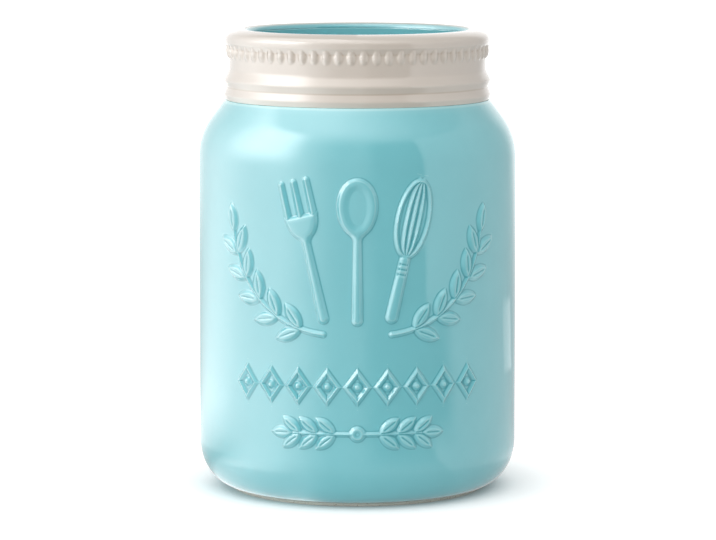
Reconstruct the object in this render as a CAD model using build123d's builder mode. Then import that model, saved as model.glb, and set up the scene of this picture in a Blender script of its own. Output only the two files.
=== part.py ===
"""Utensil crock in the shape of a wide-mouthed preserving jar.

The jar is one slip-cast pot with a shoulder and a neck. A cast band with a rolled lip, a row of beads and two
thread ridges sits over the neck, a bare foot ring is under the base, and thin reliefs are bedded on the front
of the wall: three kitchen utensils between two leafy branches, a border of lozenges and a garland.

Millimetres, +Z up. The origin is on the table, on the jar's axis, and the ornament faces -Y.
"""

import os
from math import atan2, cos, degrees, pi, radians, sin, sqrt, tan

from build123d import *

# Jar
crock_height = 177.8
body_radius = 61.3
wall_thickness = 5.0
floor_thickness = 6.5
base_corner_width = 13.6
base_corner_height = 17.4
floor_corner_radius = 12.0

# Shoulder, from the end of the straight wall to the seat of the band
shoulder_rise = 13.5
shoulder_inset = 10.2
shoulder_radius = 26.0
shoulder_thickness = 6.5
neck_blend_radius = 4.0

# Foot and the recess that it surrounds
foot_height = 1.2
foot_reach = 1.0
foot_width = 5.6
foot_chamfer = 0.35
recess_depth = 1.4
recess_clearance = 0.8

# Band: its ridges and edge stand proud of its waist, and their heights count up from its lower edge
band_height = 27.1
band_thickness = 3.05
band_clearance = 0.15
neck_thickness = 4.2
seat_margin = 0.2
edge_proud = 1.2
edge_radius = 0.4
lower_ridge_proud = 1.9
lower_ridge_height = 2.1
groove_proud = 0.85
groove_height = 5.1
upper_ridge_proud = 1.8
upper_ridge_height = 7.7
ridge_radius = 1.6
waist_foot_height = 11.4
waist_foot_radius = 3.0

# Lip of the band: its heights count down from the top of the crock
lip_thickness = 2.0
lip_proud = 1.25
lip_crown_width = 6.4
lip_crown_depth = 3.8
lip_face_depth = 5.1
lip_face_radius = 1.6
lip_root_depth = 7.4
lip_root_radius = 3.5

# Beads under the lip
bead_radius = 1.25
bead_length = 4.2
bead_proud = 0.45
bead_depth = 8.5
bead_pitch = 4.6

# Reliefs on the wall
relief_height = 1.3
cut_overrun = 2.0

# Utensils: the heights of these and of all the reliefs are shares of the straight wall's height
utensil_spread = 18.5
utensil_lean_angle = 13.0
utensil_middle_share = 0.725
utensil_length_share = 0.5
handle_width = 3.4
spoon_bowl_width = 15.0
spoon_bowl_share = 0.2
fork_tine_count = 3
fork_tine_width = 2.6
fork_tine_gap = 2.5
fork_tine_share = 0.125
fork_palm_share = 0.085
whisk_grip_width = 4.6
whisk_wire_width = 1.7
whisk_width = 13.8
whisk_inner_width = 6.6
whisk_share = 0.275

# Branches
branch_across = 33.5
branch_middle_share = 0.705
branch_centre_across = 8.2
branch_centre_share = 0.845
branch_reach = 44.4
branch_fall_share = 0.405
branch_stem_width = 1.8
branch_start_angle = -84.0
branch_end_angle = -8.0
branch_leaf_angles = (-73.0, -60.0, -47.0, -34.0, -21.0)
branch_leaf_length = 11.4
branch_leaf_width = 5.1
leaf_spread_angle = 38.0

# Lozenge border
lozenge_count = 9
lozenge_pitch = 11.3
lozenge_width = 10.3
lozenge_line_width = 1.8
lozenge_dot_width = 3.0
lozenge_height_share = 0.127
lozenge_middle_share = 0.262

# Garland
garland_across = 18.1
garland_middle_share = 0.101
garland_start = 2.2
garland_length = 23.6
garland_stem_width = 1.5
garland_pair_count = 3
garland_pair_start = 8.2
garland_pair_pitch = 6.6
garland_leaf_length = 9.4
garland_leaf_width = 4.4
boss_width = 5.7

# Places worked out from the sizes above
seat_height = crock_height - band_height
seat_radius = body_radius - shoulder_inset
shoulder_slope = atan2(shoulder_inset, shoulder_rise)
shoulder_corner_height = seat_height - shoulder_rise
edge_line_radius = seat_radius - seat_margin
band_waist_radius = edge_line_radius - edge_proud
band_inner_radius = band_waist_radius - band_thickness
neck_radius = band_inner_radius - band_clearance
neck_top = crock_height - lip_thickness
bore_radius = neck_radius - neck_thickness

base_flat_radius = body_radius - base_corner_width
floor_height = foot_height + floor_thickness
cavity_radius = body_radius - wall_thickness
foot_radius = base_flat_radius + foot_reach
foot_inner_radius = foot_radius - foot_width
recess_radius = foot_inner_radius - recess_clearance

wall_foot = foot_height + base_corner_height
wall_top = shoulder_corner_height - shoulder_radius * tan(shoulder_slope / 2)
panel_height = wall_top - wall_foot


def inner_shoulder_height(radius):
    """Height of the shoulder's inner cone at a radius: it lies parallel to the outer one."""
    along = (body_radius - radius - shoulder_thickness * cos(shoulder_slope)) / sin(shoulder_slope)
    return shoulder_corner_height - shoulder_thickness * sin(shoulder_slope) + along * cos(shoulder_slope)


# Jar body: outer form, then the cavity with the bore of the neck, then the recess under the base
with BuildPart() as jar_body:
    with BuildSketch(Plane.XZ):
        with BuildLine():
            EllipticalCenterArc(
                (base_flat_radius, wall_foot),
                base_corner_width,
                base_corner_height,
                start_angle=-90,
                arc_size=90,
            )
            FilletPolyline(
                (body_radius, wall_foot),
                (body_radius, shoulder_corner_height),
                (seat_radius, seat_height),
                (neck_radius, seat_height),
                (neck_radius, neck_top),
                (0, neck_top),
                (0, foot_height),
                (base_flat_radius, foot_height),
                radius=[shoulder_radius, 0, 0, 0, 0, 0],
            )
        make_face()
    revolve(axis=Axis.Z)
    with BuildSketch(Plane.XZ):
        with BuildLine():
            FilletPolyline(
                (0, floor_height),
                (cavity_radius, floor_height),
                (cavity_radius, inner_shoulder_height(cavity_radius)),
                (bore_radius, inner_shoulder_height(bore_radius)),
                (bore_radius, neck_top + cut_overrun),
                (0, neck_top + cut_overrun),
                radius=[0, floor_corner_radius, shoulder_radius - shoulder_thickness, neck_blend_radius, 0, 0],
                close=True,
            )
        make_face()
    revolve(axis=Axis.Z, mode=Mode.SUBTRACT)
    with BuildSketch(Plane.XY):
        Circle(recess_radius)
    extrude(amount=foot_height + recess_depth, mode=Mode.SUBTRACT)
jar_body.part.label = "jar_body"

# Foot ring: the bare rim that the crock stands on
with BuildPart() as foot_ring:
    with BuildSketch(Plane.XY):
        Circle(foot_radius)
        Circle(foot_inner_radius, mode=Mode.SUBTRACT)
    extrude(amount=foot_height)
    chamfer(foot_ring.faces().sort_by(Axis.Z)[0].edges(), foot_chamfer)
foot_ring.part.label = "foot_ring"

# Screw band: its section runs over the crown, down the inside, out along the seat and up the ridged outside
lip_line_radius = band_waist_radius + lip_proud
lip_crown_radius = lip_line_radius - lip_crown_width
lip_crown_height = crock_height - lip_crown_depth
bead_line_radius = band_waist_radius + bead_proud - bead_radius
bead_count = int(2 * pi * bead_line_radius / bead_pitch)
bead_straight = bead_length - 2 * bead_radius

with BuildPart() as screw_band:
    with BuildSketch(Plane.XZ):
        with BuildLine():
            EllipticalCenterArc(
                (lip_crown_radius, lip_crown_height),
                lip_crown_width,
                lip_crown_depth,
                start_angle=0,
                arc_size=90,
            )
            EllipticalCenterArc(
                (lip_crown_radius, neck_top),
                lip_crown_radius - bore_radius,
                lip_thickness,
                start_angle=90,
                arc_size=90,
            )
            FilletPolyline(
                (bore_radius, neck_top),
                (band_inner_radius, neck_top),
                (band_inner_radius, seat_height),
                (edge_line_radius, seat_height),
                (band_waist_radius + lower_ridge_proud, seat_height + lower_ridge_height),
                (band_waist_radius + groove_proud, seat_height + groove_height),
                (band_waist_radius + upper_ridge_proud, seat_height + upper_ridge_height),
                (band_waist_radius, seat_height + waist_foot_height),
                (band_waist_radius, crock_height - lip_root_depth),
                (lip_line_radius, crock_height - lip_face_depth),
                (lip_line_radius, lip_crown_height),
                radius=[
                    0,
                    0,
                    edge_radius,
                    ridge_radius,
                    ridge_radius,
                    ridge_radius,
                    waist_foot_radius,
                    lip_root_radius,
                    lip_face_radius,
                ],
            )
        make_face()
    revolve(axis=Axis.Z)
    with Locations((0, 0, crock_height - bead_depth)):
        with PolarLocations(bead_line_radius, bead_count):
            Cylinder(bead_radius, bead_straight)
            with Locations((0, 0, bead_straight / 2), (0, 0, -bead_straight / 2)):
                Sphere(bead_radius)
screw_band.part.label = "screw_band"


class Leaf(BaseSketchObject):
    """A leaf with two arched edges, from the origin along +X."""

    def __init__(self, length, width, rotation=0, mode=Mode.ADD):
        with BuildSketch(Plane.XY) as outline:
            with BuildLine():
                ThreePointArc((0, 0), (length / 2, width / 2), (length, 0))
                ThreePointArc((length, 0), (length / 2, -width / 2), (0, 0))
            make_face()
        super().__init__(outline.sketch.face(), rotation=rotation, mode=mode)


def wall_plane(across, height, lean=0.0):
    """A plane that touches the wall and faces outwards, at an arc length from the front and a height."""
    turn = across / body_radius
    outwards = Vector(sin(turn), -cos(turn), 0)
    sideways = Vector(cos(turn), sin(turn), 0)
    upwards = Vector(0, 0, 1)
    return Plane(
        origin=outwards * body_radius + upwards * height,
        x_dir=sideways * cos(radians(lean)) + upwards * sin(radians(lean)),
        z_dir=outwards,
    )


def height_on_wall(height_share):
    """A height on the straight wall."""
    return wall_foot + height_share * panel_height


with BuildSketch(Plane.XY) as relief_ring:
    Circle(body_radius + relief_height)
    Circle(body_radius, mode=Mode.SUBTRACT)


def press_on_wall(half_width):
    """Runs the pending outlines through the wall and keeps what lies between it and the reliefs' face."""
    fall = body_radius - sqrt(body_radius**2 - half_width**2)
    extrude(amount=relief_height + fall + cut_overrun, both=True)
    extrude(relief_ring.sketch, amount=crock_height, mode=Mode.INTERSECT)


# Utensils: each is drawn upright about the middle of its length, on a plane of its own
utensil_length = utensil_length_share * panel_height
utensil_top = utensil_length / 2
utensil_height = height_on_wall(utensil_middle_share)

spoon_bowl_length = spoon_bowl_share * panel_height
spoon_handle_length = utensil_length - spoon_bowl_length + handle_width

with BuildPart() as spoon_relief:
    with BuildSketch(wall_plane(0, utensil_height)):
        with Locations((0, spoon_handle_length / 2 - utensil_top)):
            SlotOverall(spoon_handle_length, handle_width, rotation=90)
        with Locations((0, utensil_top - spoon_bowl_length / 2)):
            Ellipse(spoon_bowl_width / 2, spoon_bowl_length / 2)
    press_on_wall(spoon_bowl_width)
spoon_relief.part.label = "spoon_relief"

tine_pitch = fork_tine_width + fork_tine_gap
tine_radius = fork_tine_width / 2
tine_length = fork_tine_share * panel_height
palm_length = fork_palm_share * panel_height
fork_width = fork_tine_width + (fork_tine_count - 1) * tine_pitch
fork_handle_length = utensil_length - tine_length - palm_length / 2

with BuildPart() as fork_relief:
    with BuildSketch(wall_plane(-utensil_spread, utensil_height, lean=utensil_lean_angle)):
        with Locations((0, fork_handle_length / 2 - utensil_top)):
            SlotOverall(fork_handle_length, handle_width, rotation=90)
        with Locations((0, utensil_top - tine_length)):
            Ellipse(fork_width / 2, palm_length)
            Rectangle(fork_width, palm_length, align=(Align.CENTER, Align.MIN), mode=Mode.SUBTRACT)
            with GridLocations(tine_pitch, 0, fork_tine_count, 1):
                Rectangle(fork_tine_width, tine_length - tine_radius, align=(Align.CENTER, Align.MIN))
                with Locations((0, tine_length - tine_radius)):
                    Circle(tine_radius)
    press_on_wall(fork_width)
fork_relief.part.label = "fork_relief"

whisk_length = whisk_share * panel_height
whisk_grip_length = utensil_length - whisk_length + whisk_wire_width

with BuildPart() as whisk_relief:
    with BuildSketch(wall_plane(utensil_spread, utensil_height, lean=-utensil_lean_angle)):
        with Locations((0, utensil_top - whisk_length / 2)):
            for loop_width in (whisk_width, whisk_inner_width):
                Ellipse(loop_width / 2, whisk_length / 2)
                Ellipse(loop_width / 2 - whisk_wire_width, whisk_length / 2 - whisk_wire_width, mode=Mode.SUBTRACT)
            Rectangle(whisk_wire_width, whisk_length - whisk_wire_width)
        with Locations((0, whisk_grip_length / 2 - utensil_top)):
            SlotOverall(whisk_grip_length, whisk_grip_width, rotation=90)
    press_on_wall(whisk_width)
whisk_relief.part.label = "whisk_relief"

# Branches: an arched stem with paired leaves, drawn at the right and mirrored
branch_fall = branch_fall_share * panel_height
branch_tip_angle = branch_end_angle - degrees(branch_stem_width / branch_reach)
branch_centre = Vector(
    branch_centre_across - branch_across,
    (branch_centre_share - branch_middle_share) * panel_height,
)


def stem_point(angle):
    """The point of the right branch's stem at an angle of its arch."""
    return branch_centre + Vector(branch_reach * cos(radians(angle)), branch_fall * sin(radians(angle)))


def stem_heading(angle):
    """The direction in which the stem grows there, in degrees."""
    return degrees(atan2(branch_fall * cos(radians(angle)), -branch_reach * sin(radians(angle))))


with BuildPart() as right_branch:
    with BuildSketch(wall_plane(branch_across, height_on_wall(branch_middle_share))):
        with BuildLine():
            EllipticalCenterArc(
                branch_centre,
                branch_reach,
                branch_fall,
                start_angle=branch_start_angle,
                arc_size=branch_end_angle - branch_start_angle,
            )
        trace(line_width=branch_stem_width)
        for leaf_angle in branch_leaf_angles:
            with Locations(stem_point(leaf_angle)):
                for spread in (-leaf_spread_angle, leaf_spread_angle):
                    Leaf(branch_leaf_length, branch_leaf_width, rotation=stem_heading(leaf_angle) + spread)
        with Locations(stem_point(branch_tip_angle)):
            Leaf(branch_leaf_length, branch_leaf_width, rotation=stem_heading(branch_tip_angle))
    press_on_wall(branch_across)
right_branch.part.label = "right_branch"

with BuildPart() as left_branch:
    mirror(right_branch.part, about=Plane.YZ)
left_branch.part.label = "left_branch"


class Lozenge(BaseSketchObject):
    """A lozenge that stands on its point."""

    def __init__(self, width, height, rotation=0, mode=Mode.ADD):
        with BuildSketch(Plane.XY) as outline:
            with BuildLine():
                Polyline((width / 2, 0), (0, height / 2), (-width / 2, 0), (0, -height / 2), close=True)
            make_face()
        super().__init__(outline.sketch.face(), rotation=rotation, mode=mode)


# Lozenge border: a row of outlined lozenges with a dot in each, and the outlines keep their width all round
lozenge_height = lozenge_height_share * panel_height
lozenge_slant = sqrt(lozenge_width**2 + lozenge_height**2)
lozenge_inner_width = lozenge_width - 2 * lozenge_line_width * lozenge_slant / lozenge_height
lozenge_inner_height = lozenge_height - 2 * lozenge_line_width * lozenge_slant / lozenge_width
lozenge_planes = [
    wall_plane((place - (lozenge_count - 1) / 2) * lozenge_pitch, height_on_wall(lozenge_middle_share))
    for place in range(lozenge_count)
]

with BuildPart() as lozenge_border:
    with BuildSketch(*lozenge_planes):
        Lozenge(lozenge_width, lozenge_height)
        Lozenge(lozenge_inner_width, lozenge_inner_height, mode=Mode.SUBTRACT)
        Circle(lozenge_dot_width / 2)
    press_on_wall(lozenge_width)
lozenge_border.part.label = "lozenge_border"

# Garland: a boss in the middle, and to each side a straight stem with paired leaves; half a turn of the right
# side's drawing gives the left side
garland_height = height_on_wall(garland_middle_share)
garland_right = wall_plane(garland_across, garland_height)
garland_left = wall_plane(-garland_across, garland_height, lean=180)
garland_tip = garland_start + garland_length - garland_stem_width

with BuildPart() as leaf_garland:
    with BuildSketch(garland_right, garland_left):
        with Locations((garland_start - garland_across, 0)):
            Rectangle(garland_length, garland_stem_width, align=(Align.MIN, Align.CENTER))
        for pair in range(garland_pair_count):
            with Locations((garland_pair_start + pair * garland_pair_pitch - garland_across, 0)):
                for spread in (-leaf_spread_angle, leaf_spread_angle):
                    Leaf(garland_leaf_length, garland_leaf_width, rotation=spread)
        with Locations((garland_tip - garland_across, 0)):
            Leaf(garland_leaf_length, garland_leaf_width)
    with BuildSketch(wall_plane(0, garland_height)):
        Circle(boss_width / 2)
    press_on_wall(garland_across)
leaf_garland.part.label = "leaf_garland"

os.makedirs("parts", exist_ok=True)
pieces = (
    jar_body,
    screw_band,
    foot_ring,
    fork_relief,
    spoon_relief,
    whisk_relief,
    left_branch,
    right_branch,
    lozenge_border,
    leaf_garland,
)
for piece in pieces:
    export_step(piece.part, f"parts/{piece.part.label}.step")
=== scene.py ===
"""Looks of a glazed utensil crock, laid out as an add-on and run as a script around the packed CAD frame.

Metres, +Z up. The origin is on the table, on the crock's axis, and the ornament faces -Y.
"""

from math import atan2, ceil, cos, hypot, pi, radians, sin, tan

import bmesh
import bpy
import numpy as np
from bpy.props import FloatProperty, FloatVectorProperty, IntProperty, PointerProperty
from mathutils import Color, Matrix, Vector


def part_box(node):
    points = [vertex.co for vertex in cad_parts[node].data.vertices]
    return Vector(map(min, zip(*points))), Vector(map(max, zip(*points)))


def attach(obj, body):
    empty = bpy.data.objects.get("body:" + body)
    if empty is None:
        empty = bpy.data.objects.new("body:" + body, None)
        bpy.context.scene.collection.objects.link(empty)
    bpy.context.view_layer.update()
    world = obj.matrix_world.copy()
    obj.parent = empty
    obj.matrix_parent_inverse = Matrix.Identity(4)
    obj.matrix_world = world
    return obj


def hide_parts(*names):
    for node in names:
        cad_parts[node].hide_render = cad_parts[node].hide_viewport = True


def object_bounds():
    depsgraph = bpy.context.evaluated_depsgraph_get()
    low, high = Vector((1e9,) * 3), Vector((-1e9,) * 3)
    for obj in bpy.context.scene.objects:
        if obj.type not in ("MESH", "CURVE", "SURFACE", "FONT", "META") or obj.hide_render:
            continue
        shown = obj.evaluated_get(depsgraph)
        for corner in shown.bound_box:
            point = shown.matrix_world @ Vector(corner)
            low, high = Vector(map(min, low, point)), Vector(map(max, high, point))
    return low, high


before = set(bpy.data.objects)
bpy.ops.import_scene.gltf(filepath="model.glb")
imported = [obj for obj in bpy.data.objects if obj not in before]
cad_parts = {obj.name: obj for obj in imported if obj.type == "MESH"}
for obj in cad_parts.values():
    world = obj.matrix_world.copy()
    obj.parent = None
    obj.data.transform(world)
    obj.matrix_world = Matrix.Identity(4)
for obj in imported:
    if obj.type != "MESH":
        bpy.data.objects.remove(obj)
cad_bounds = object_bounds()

bl_info = {
    "name": "Utensil Crock",
    "version": (1, 0, 0),
    "blender": (4, 5, 0),
    "location": "3D View > Sidebar > Crock",
    "description": "Glazed crock with a beaded band and raised kitchen ornament",
    "category": "Object",
}

MM = 0.001

# Heights that the frame gives
CROCK_HEIGHT = cad_bounds[1].z
SEAT_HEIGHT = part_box("screw_band")[0][2]
FOOT_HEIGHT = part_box("foot_ring")[1][2]
NECK_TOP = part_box("jar_body")[1][2]


def length(name, description, size):
    """A length property, with its default in millimetres."""
    settings = {"default": size * MM, "min": 0.0, "unit": "LENGTH", "precision": 4}
    return FloatProperty(name=name, description=description, **settings)


def angle(name, description, size):
    """An angle property, with its default in degrees."""
    return FloatProperty(name=name, description=description, default=radians(size), subtype="ANGLE")


def share(name, description, size):
    """A share between none and all."""
    return FloatProperty(name=name, description=description, default=size, min=0.0, max=1.0, subtype="FACTOR")


def number(name, description, size):
    """How many copies a pattern has."""
    return IntProperty(name=name, description=description, default=size, min=1)


def glow(name, description, strength):
    """A brightness, where one is the white of the picture."""
    return FloatProperty(name=name, description=description, default=strength, min=0.0)


def colour(name, description, *screen):
    """A colour property, with its default as eight-bit screen values of red, green and blue."""
    light = Color([value / 255 for value in screen]).from_srgb_to_scene_linear()
    settings = {"default": (*light, 1.0), "size": 4, "min": 0.0, "max": 1.0, "subtype": "COLOR"}
    return FloatVectorProperty(name=name, description=description, **settings)


class CrockJarSizes(bpy.types.PropertyGroup):
    """Sizes of the jar and of the foot under it."""

    body_radius: length("Body radius", "Radius of the straight wall", 61.3)
    wall: length("Wall", "Thickness of the straight wall", 5.0)
    floor: length("Floor", "Thickness of the floor over the foot", 6.5)
    base_width: length("Base corner width", "How far the base corner reaches inwards", 13.6)
    base_height: length("Base corner height", "How far the base corner reaches up", 17.4)
    floor_rounding: length("Floor rounding", "Radius between the inner wall and the floor", 12.0)
    shoulder_rise: length("Shoulder rise", "Height of the shoulder's cone", 13.5)
    shoulder_inset: length("Shoulder inset", "How far the shoulder draws in", 10.2)
    shoulder_rounding: length("Shoulder rounding", "Radius between wall and shoulder", 26.0)
    shoulder_wall: length("Shoulder wall", "Thickness of the shoulder", 6.5)
    neck_blend: length("Neck blend", "Radius between the shoulder and the bore, inside", 4.0)
    neck_wall: length("Neck wall", "Thickness of the neck", 4.2)
    foot_reach: length("Foot reach", "How far the foot stands out from the base", 1.0)
    foot_width: length("Foot width", "Width of the bare foot", 5.6)
    foot_rounding: length("Foot rounding", "Radius along the edges of the bare foot", 0.4)
    recess_depth: length("Recess depth", "Depth of the recess over the foot", 1.4)
    recess_clearance: length("Recess clearance", "Room between the foot and the recess", 0.8)


class CrockBandSizes(bpy.types.PropertyGroup):
    """Sizes of the cream band and its lip, ridges and beads."""

    seat_margin: length("Seat margin", "How far the band's edge stays inside the seat", 0.2)
    thickness: length("Thickness", "Thickness of the band at its waist", 3.05)
    clearance: length("Clearance", "Glaze gap round the neck", 0.15)
    edge_proud: length("Edge", "How far the lower edge stands out from the waist", 1.2)
    lower_ridge_proud: length("Lower ridge", "How far the lower ridge stands out", 1.95)
    lower_ridge_height: length("Lower ridge height", "Height of the lower ridge over the seat", 2.1)
    groove_proud: length("Groove", "How far the groove between the ridges stands out", 0.8)
    groove_height: length("Groove height", "Height of the groove over the seat", 5.0)
    upper_ridge_proud: length("Upper ridge", "How far the upper ridge stands out", 1.9)
    upper_ridge_height: length("Upper ridge height", "Height of the upper ridge over the seat", 7.7)
    waist_foot: length("Waist foot", "Height over the seat at which the waist begins", 11.4)
    lip_proud: length("Lip", "How far the lip stands out from the waist", 1.25)
    crown_width: length("Crown width", "Width of the lip's outer curve", 6.4)
    crown_depth: length("Crown depth", "Depth of the lip's outer curve", 3.8)
    lip_face: length("Lip face", "Depth of the lip's lower corner", 5.1)
    lip_root: length("Lip root", "Depth at which the waist ends under the lip", 7.4)
    bead_pitch: length("Bead pitch", "Distance from bead to bead, at the least", 4.6)
    bead_width: length("Bead width", "Width of a bead", 3.4)
    bead_length: length("Bead length", "Height of a bead", 5.4)
    bead_rise: length("Bead rise", "How far a bead stands out from the waist", 0.95)
    bead_depth: length("Bead depth", "Depth of the beads' middle under the rim", 8.5)


class CrockReliefSizes(bpy.types.PropertyGroup):
    """How the raised ornament rises from the wall, and where it sits on the straight wall."""

    rise: length("Rise", "Height of a stroke over the wall", 1.15)
    crown: length("Crown", "How much a broad stroke domes above that", 0.25)
    crown_reach: length("Crown reach", "Distance over which a broad stroke domes", 2.6)
    foot: length("Foot", "How far a stroke spreads outside its outline", 0.5)
    shoulder: length("Shoulder", "How far inside its outline a stroke gets its height", 1.2)
    skirt: length("Skirt", "Width of the thin glaze skirt round a stroke", 1.2)
    film: length("Film", "How thick the skirt begins", 0.02)
    bedding: length("Bedding", "How deep a piece is bedded in the wall", 0.6)
    grid: length("Grid", "Distance between the surface's points", 0.2)
    softness: length("Softness", "How softly strokes run together", 0.7)
    wall_foot: length("Wall foot", "Height at which the straight wall begins", 18.6)
    wall_height: length("Wall height", "Height of the straight wall", 109.7)


class CrockUtensilSizes(bpy.types.PropertyGroup):
    """Sizes of the fork, the spoon and the whisk. Shares are of the straight wall's height."""

    spread: length("Spread", "Distance of the fork and the whisk from the middle", 18.5)
    lean: angle("Lean", "How far the fork and the whisk lean outwards", 13.0)
    middle: share("Middle", "Height of the utensils' middle", 0.725)
    size: share("Length", "Length of the utensils", 0.5)
    handle: length("Handle", "Width of a handle", 3.4)
    spoon_width: length("Spoon width", "Width of the spoon's bowl", 15.0)
    spoon_length: share("Spoon bowl", "Length of the bowl", 0.2)
    spoon_rim: length("Spoon rim", "Width of the rim round the bowl", 1.5)
    spoon_hollow: length("Spoon hollow", "Depth of the bowl's hollow", 0.75)
    tines: number("Tines", "Tines of the fork", 3)
    tine_width: length("Tine width", "Width of a tine", 2.6)
    tine_gap: length("Tine gap", "Gap between the tines", 2.5)
    tine_length: share("Tine length", "Length of the tines", 0.125)
    palm: share("Palm", "Length of the fork's palm", 0.085)
    grip: length("Grip", "Width of the whisk's grip", 4.6)
    wire: length("Wire", "Width of a whisk wire", 1.7)
    whisk_width: length("Whisk width", "Width of the outer loop", 13.8)
    whisk_inner: length("Inner loop", "Width of the inner loop", 6.6)
    whisk_length: share("Whisk length", "Length of the loops", 0.275)
    grip_rings: number("Grip rings", "Grooves round the whisk's grip", 3)


class CrockBranchSizes(bpy.types.PropertyGroup):
    """Sizes of the right branch, which the left one mirrors. Shares are of the straight wall's height."""

    across: length("Across", "Distance of a branch's plane from the front", 33.5)
    middle: share("Middle", "Height of that plane", 0.705)
    centre_across: length("Centre across", "Distance of the stem's centre from the front", 8.2)
    centre: share("Centre", "Height of the stem's centre", 0.845)
    reach: length("Reach", "How far the stem reaches from its centre", 44.4)
    fall: share("Fall", "How far the stem hangs", 0.405)
    stem: length("Stem", "Width of the stem at its root", 2.0)
    stem_tip: length("Stem tip", "Width of the stem at its tip", 1.3)
    start: angle("Start", "Angle at which the stem begins", -84.0)
    end: angle("End", "Angle at which the stem ends", -8.0)
    first_leaves: angle("First leaves", "Angle of the first pair of leaves", -73.0)
    leaf_step: angle("Leaf step", "Angle from pair to pair", 13.0)
    pairs: number("Pairs", "Pairs of leaves", 5)
    leaf_length: length("Leaf length", "Length of a leaf", 11.4)
    leaf_width: length("Leaf width", "Width of a leaf", 5.1)
    spread: angle("Leaf spread", "Angle between a leaf and its stem", 38.0)
    vein: length("Vein", "Depth of a leaf's vein", 0.4)
    vein_width: length("Vein width", "Half width of a leaf's vein", 0.42)


class CrockBorderSizes(bpy.types.PropertyGroup):
    """Sizes of the lozenges and of the garland under them. Shares are of the straight wall's height."""

    lozenges: number("Lozenges", "Lozenges in the row", 9)
    pitch: length("Pitch", "Distance from lozenge to lozenge", 11.3)
    width: length("Width", "Width of a lozenge", 10.3)
    line: length("Line", "Width of a lozenge's outline", 1.8)
    dot: length("Dot", "Width of the dot in a lozenge", 3.0)
    height: share("Height", "Height of a lozenge", 0.127)
    middle: share("Middle", "Height of the row", 0.262)
    garland_middle: share("Garland middle", "Height of the garland", 0.101)
    start: length("Stem start", "Distance of a garland stem from the middle", 2.2)
    reach: length("Stem length", "Length of a garland stem", 23.6)
    stem: length("Stem", "Width of a garland stem", 1.5)
    pairs: number("Pairs", "Pairs of leaves on each side", 3)
    first_pair: length("First pair", "Distance of the first pair from the middle", 8.2)
    pair_pitch: length("Pair pitch", "Distance from pair to pair", 6.6)
    leaf_length: length("Leaf length", "Length of a garland leaf", 9.4)
    leaf_width: length("Leaf width", "Width of a garland leaf", 4.4)
    boss: length("Boss", "Width of the boss in the middle", 5.7)
    dimple: length("Dimple", "Depth of the dimple in the boss", 0.5)


class CrockGlazes(bpy.types.PropertyGroup):
    """Colours of the glazes and of the bare clay."""

    # Besides the glazes' own thinning and pooling, the thin colours paint a highlight on raised edges and the
    # pooled colours paint shade in hollows
    aqua: colour("Aqua", "Aqua glaze at its usual thickness", 132, 209, 217)
    aqua_thin_and_highlight: colour("Thin aqua", "Aqua glaze where it thins over an edge", 176, 229, 233)
    aqua_pooled_and_shade: colour("Pooled aqua", "Aqua glaze where it gathers in a hollow", 88, 172, 182)
    cream: colour("Cream", "Cream glaze", 218, 208, 197)
    cream_thin_and_highlight: colour("Thin cream", "Cream glaze where it thins over an edge", 232, 224, 214)
    cream_pooled_and_shade: colour("Pooled cream", "Cream glaze where it gathers in a hollow", 202, 188, 172)
    clay: colour("Clay", "Bare fired clay", 230, 223, 212)
    clay_speck: colour("Clay speck", "Specks in the bare clay", 182, 166, 146)


class CrockStage(bpy.types.PropertyGroup):
    """Camera, floor and light."""

    camera_distance: length("Camera distance", "Distance from the axis to the camera", 1397.7)
    camera_height: length("Camera height", "Height of the camera over the table", 254.4)
    camera_tilt: angle("Camera tilt", "How far the camera looks down", 6.951)
    focal_length: FloatProperty(name="Focal length", description="On a 36 mm wide sensor", default=182.36)
    shift: FloatProperty(name="Shift", description="Sideways shift of the view", default=0.00084, precision=5)
    floor: length("Floor", "Width of the pale floor", 24000.0)
    floor_shade: share("Floor shade", "How much light the floor returns", 0.8)
    floor_glow: glow("Floor glow", "Brightness added where the floor is seen", 0.75)
    surround: glow("Surround", "Strength of the light from all round", 0.41)
    key: glow("Key", "Brightness of the soft lamp at the upper left", 0.50)
    key_azimuth: angle("Key azimuth", "Direction of that lamp, from the front towards the right", -28.0)
    key_elevation: angle("Key elevation", "Height of that lamp over the horizon", 42.0)
    key_breadth: angle("Key breadth", "How broad that lamp looks from the crock", 100.0)
    tent_gap: length("Tent gap", "Distance from the axis at which the light tent leaves the table", 46.0)
    tent_reach: length("Tent reach", "How much further out its wall stands", 450.0)
    tent_height: length("Tent height", "Height of the tent", 700.0)
    left_glow: glow("Left glow", "Brightness of the tent at the left and overhead", 5.4)
    hot_glow: glow("Hot glow", "Brightness of its brightest patch, high at the left", 11.5)
    right_glow: glow("Right glow", "Brightness of the tent at the right", 1.6)
    rear_glow: glow("Rear glow", "Brightness of the tent at the rear", 1.35)
    edge_glow: glow("Edge glow", "Brightness of the tent beside the crock's right edge", 0.8)
    strip_glow: glow("Strip glow", "Brightness of a narrow strip there", 1.55)
    low_glow: glow("Low glow", "Brightness of the tent on the table at the left", 1.5)
    under_glow: glow("Under glow", "Brightness of the shaded table at the right", 0.6)
    card_glow: glow("Card glow", "Brightness of the dark card in front, right of the middle", 0.1)


# Sections and surfaces


def turned_arc(centre, start, end, rounding):
    """Points of a round arc about a centre, from one offset to the other."""
    steps = max(2, ceil(start.angle(end) / rounding))
    return [centre + start.slerp(end, step / steps) * start.length for step in range(steps + 1)]


def rounded_line(corners, rounding=radians(5)):
    """Points of a line through corners, each given by its radius, height and rounding."""
    points = []
    for place, (radius, height, bend) in enumerate(corners):
        corner = Vector((radius, height))
        if not bend:
            points.append(corner)
            continue
        back = (Vector(corners[place - 1][:2]) - corner).normalized()
        ahead = (Vector(corners[place + 1][:2]) - corner).normalized()
        half = back.angle(ahead) / 2
        centre = corner + (back + ahead).normalized() * bend / sin(half)
        reach = bend / tan(half)
        start, end = (corner + way * reach - centre for way in (back, ahead))
        points += turned_arc(centre, start, end, rounding)
    return points


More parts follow.
